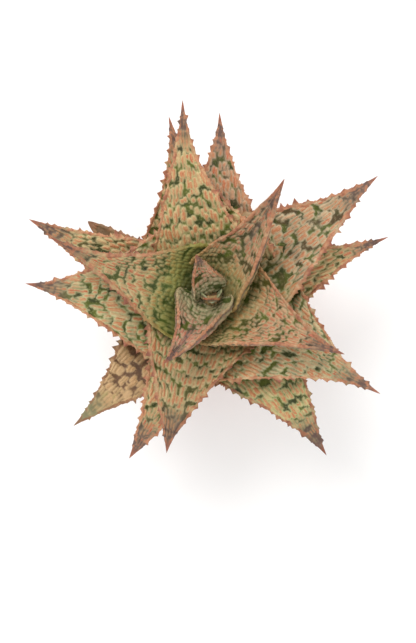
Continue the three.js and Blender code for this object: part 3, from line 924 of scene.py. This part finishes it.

# Of each leaf: seed is which spots and teeth it grows, youth how lime its base is, rusty how brown the
# ground, folded how grey the middle, crease_shade how far painted shade darkens the base where the
# leaves crowd round the stem, and leaf_shade how far painted shade darkens the whole leaf. The rest
# overrides leafGrowth, and colours overrides skinPalette.
leafLooks = {
    "lower_leaf_1": dict(seed=101, leaf_shade=.06, rusty=.8, colours={
        "Ground": (130, 92, 54), "Deep": (104, 70, 38), "Rust": (98, 64, 36), "Halo": (224, 188, 138),
        "Spot": (206, 158, 108), "Pale Spot": (220, 184, 138), "Hot Spot": (176, 168, 110),
        "Margin": (166, 120, 84), "Tooth": (146, 106, 74), "Tip": (150, 144, 104)}),
    "lower_leaf_2": dict(seed=102, rusty=.5, toothPitch=.0052, toothLength=.0046, toothWidth=.0036,
                         marginWide=.0016, spotRise=.0011, colours={
        "Ground": (128, 112, 60), "Deep": (98, 96, 46), "Margin": (186, 140, 104), "Tooth": (150, 108, 80),
        "Tip": (142, 112, 82)}),
    "lower_leaf_3": dict(seed=103, leaf_shade=.04, youth=.3, colours={
        "Halo": (206, 204, 146), "Margin": (180, 122, 90), "Tooth": (140, 84, 62)}),
    "lower_leaf_4": dict(seed=104, rusty=.9, colours={
        "Halo": (212, 184, 152), "Rust": (96, 78, 50)}),
    "lower_leaf_5": dict(seed=105),
    "lower_leaf_6": dict(seed=106, youth=.4, rusty=.4),
    "lower_leaf_7": dict(seed=107, rusty=.5, colours={"Ground": (110, 104, 56)}),
    "lower_leaf_8": dict(seed=108, rusty=.4),
    "middle_leaf_1": dict(seed=109, youth=.1, colours={"Halo": (208, 204, 154)}),
    "middle_leaf_2": dict(seed=110, youth=.2, colours={"Halo": (212, 206, 160)}),
    "middle_leaf_3": dict(seed=111, youth=.5, rusty=1, leaf_shade=.1, band=.0100, marginWide=.0018, colours={
        "Halo": (214, 198, 160)}),
    "middle_leaf_4": dict(seed=112, youth=.2, leaf_shade=.03),
    "middle_leaf_5": dict(seed=113, youth=.2, rusty=.5, leaf_shade=.2, band=.0075, marginWide=.0014),
    "middle_leaf_6": dict(seed=114, youth=1, crease_shade=1, leaf_shade=.22, lane=.0028, band=.0066, fineBase=.65,
                          marginWide=.0014, colours={
        "Ground": (78, 88, 30), "Deep": (44, 54, 16), "Young": (80, 102, 24), "Young Spot": (160, 166, 78),
        "Spot": (212, 114, 82), "Pale Spot": (208, 146, 100)}),
    "inner_leaf_1": dict(seed=115, youth=.5, rusty=.7, leaf_shade=.11, lane=.0029, band=.0066, fill=.98,
                         fineBase=.72, marginWide=.0014, toothPitch=.0026, toothLength=.0016,
                         toothWidth=.0022, colours={
        "Halo": (212, 186, 144), "Spot": (204, 120, 84), "Pale Spot": (210, 138, 102)}),
    "inner_leaf_2": dict(seed=116, youth=.5, rusty=.9, leaf_shade=.12, folded=.5, lane=.0028, band=.0070,
                         fill=.97, fineBase=.7, marginWide=.0014, toothPitch=.0026, toothLength=.0015,
                         toothWidth=.0022, colours={
        "Rust": (98, 76, 52), "Halo": (206, 182, 142), "Spot": (200, 120, 86), "Pale Spot": (206, 138, 104)}),
    "inner_leaf_3": dict(seed=117, youth=.7, rusty=.6, leaf_shade=.08, folded=1, crease_shade=0, mesh=.0005,
                         lane=.0030, band=.0056, fineBase=.75, marginWide=.0007, toothPitch=.0019,
                         toothLength=.0030, toothWidth=.0018, colours={
        "Rust": (104, 76, 62), "Young": (104, 122, 62), "Young Spot": (178, 188, 142),
        "Halo": (208, 180, 148), "Spot": (198, 116, 92), "Pale Spot": (204, 134, 108),
        "Fold": (112, 88, 84)}),
    "inner_leaf_4": dict(seed=118, youth=.8, rusty=.5, crease_shade=0, mesh=.00036, lane=.0032, band=.0046,
                         fineBase=.8, marginWide=.0003, toothPitch=.0017, toothLength=.0030,
                         toothWidth=.0016, colours={
        "Young": (104, 122, 70), "Young Spot": (186, 196, 156), "Halo": (212, 188, 152),
        "Spot": (202, 124, 98), "Pale Spot": (208, 140, 112)}),
    "heart_leaf_1": dict(seed=119, youth=1, crease_shade=0, mesh=.0003, lane=.0024, band=.0032, fineBase=1,
                         marginWide=.0004, toothPitch=.0015, toothLength=.0030, toothWidth=.0014, colours={
        "Young": (110, 128, 76), "Young Spot": (186, 198, 160), "Margin": (176, 186, 144),
        "Tooth": (192, 202, 168), "Tip": (96, 116, 66)}),
    "heart_leaf_2": dict(seed=120, crease_shade=0, mesh=.0003, lane=.0020, band=.0032, fineBase=1,
                         marginWide=.0005, toothPitch=.0014, toothLength=.0006, toothWidth=.001, colours={
        "Margin": (206, 132, 98), "Tip": (132, 116, 70)}),
}
skinFinish = {"bump": .00025, "bumpStrength": .6, "gloss": .3, "crease_shade": .7}


def leafSkin(name, look, group):
    # one leaf's finish: its colours, amounts and measures, fed into the skin group
    paint, wires, skin = newFinish("skin_" + name, group, skinFinish)
    palette = {**skinPalette, **look.get("colours", {})}
    for socket in skinColours:
        skin.inputs[socket].default_value = srgb(*palette[socket])
    amounts = {**skinFinish, **look}
    for socket in skinAmounts:
        skin.inputs[socket].default_value = amounts.get(socket.lower(), 0.0)
    for socket, key in skinMeasures.items():
        wires.feed(skin.inputs[socket], wires.attribute(key))
    return paint


def growRosette():
    # every leaf with its own growth and skin, in the place of its solid
    group = leafSkinGroup()
    for name, look in leafLooks.items():
        growth = {**leafGrowth, **{k: v for k, v in look.items() if k in leafGrowth}}
        leaf = growLeaf(name, growth, look["seed"])
        leaf.data.materials.append(leafSkin(name, look, group))
        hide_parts(name)
        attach(leaf, "root")
    print("rosette grown")


addCamera()
addStudio()
print("camera and studio set")
earth = earthGroup()
throwPot(earth)
fillSoil(earth)
growStem(earth)
print("pot, soil and stem made")
growRosette()
